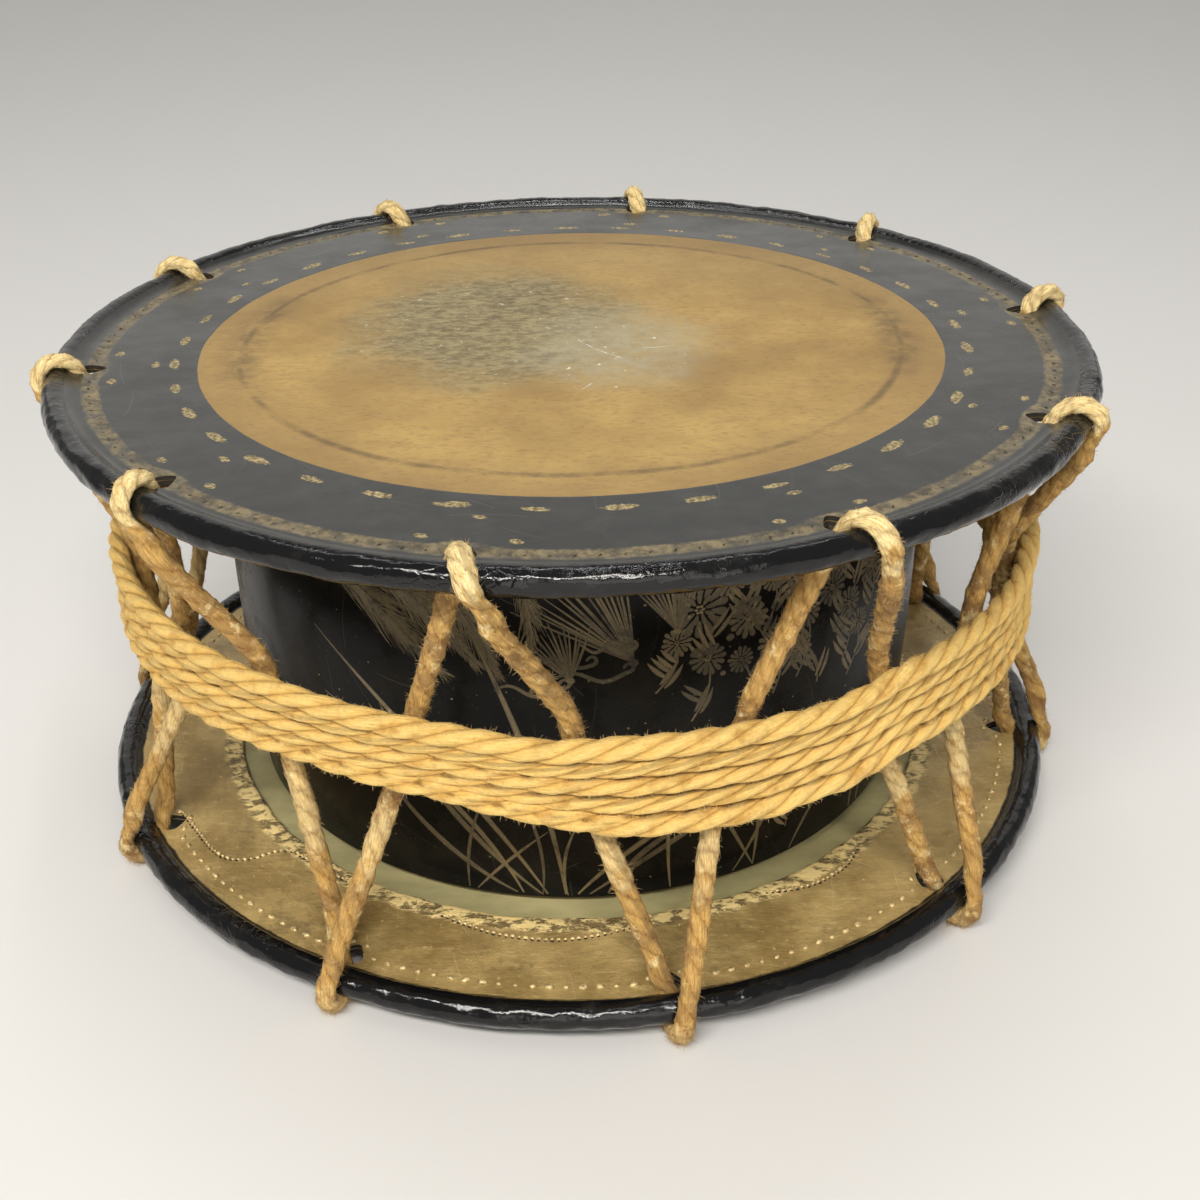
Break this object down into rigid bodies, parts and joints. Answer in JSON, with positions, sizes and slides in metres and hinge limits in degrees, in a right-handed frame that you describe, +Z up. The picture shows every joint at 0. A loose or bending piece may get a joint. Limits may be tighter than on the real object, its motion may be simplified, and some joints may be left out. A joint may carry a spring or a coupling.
{
  "type": "shime-daiko",
  "caption": "Low round rope drum: hide heads on iron rings, laced over a turned wooden body in a zigzag and drawn in by a rope wound round the waist.",
  "frame": {"origin": "centre of the drum at the level of the lower lacing loops that it stands on", "axes": "+Z up along the drum's axis to the playing head; -Y is the side that the picture shows nearest"},
  "size_m": [0.361, 0.3607, 0.1699],
  "materials": {
    "body_lacquer": "black lacquer with gold painting",
    "lacquered_hide": "black lacquer and gilding round bare tan hide",
    "iron": "forged",
    "gilded_thread": "gilded thread",
    "lacing": "worn hemp rope",
    "waist_rope": "laid hemp rope"
  },
  "bodies": {
    "root": {"body_shell": "body_lacquer", "upper_head_hide": "lacquered_hide", "lower_head_hide": "lacquered_hide", "upper_iron_ring": "iron", "lower_iron_ring": "iron", "upper_seam_thread": "gilded_thread", "lower_seam_thread": "gilded_thread", "lacing_rope": "lacing", "lacing_knot": "lacing", "waist_rope": "waist_rope", "waist_knot": "waist_rope"}
  },
  "joints": []
}
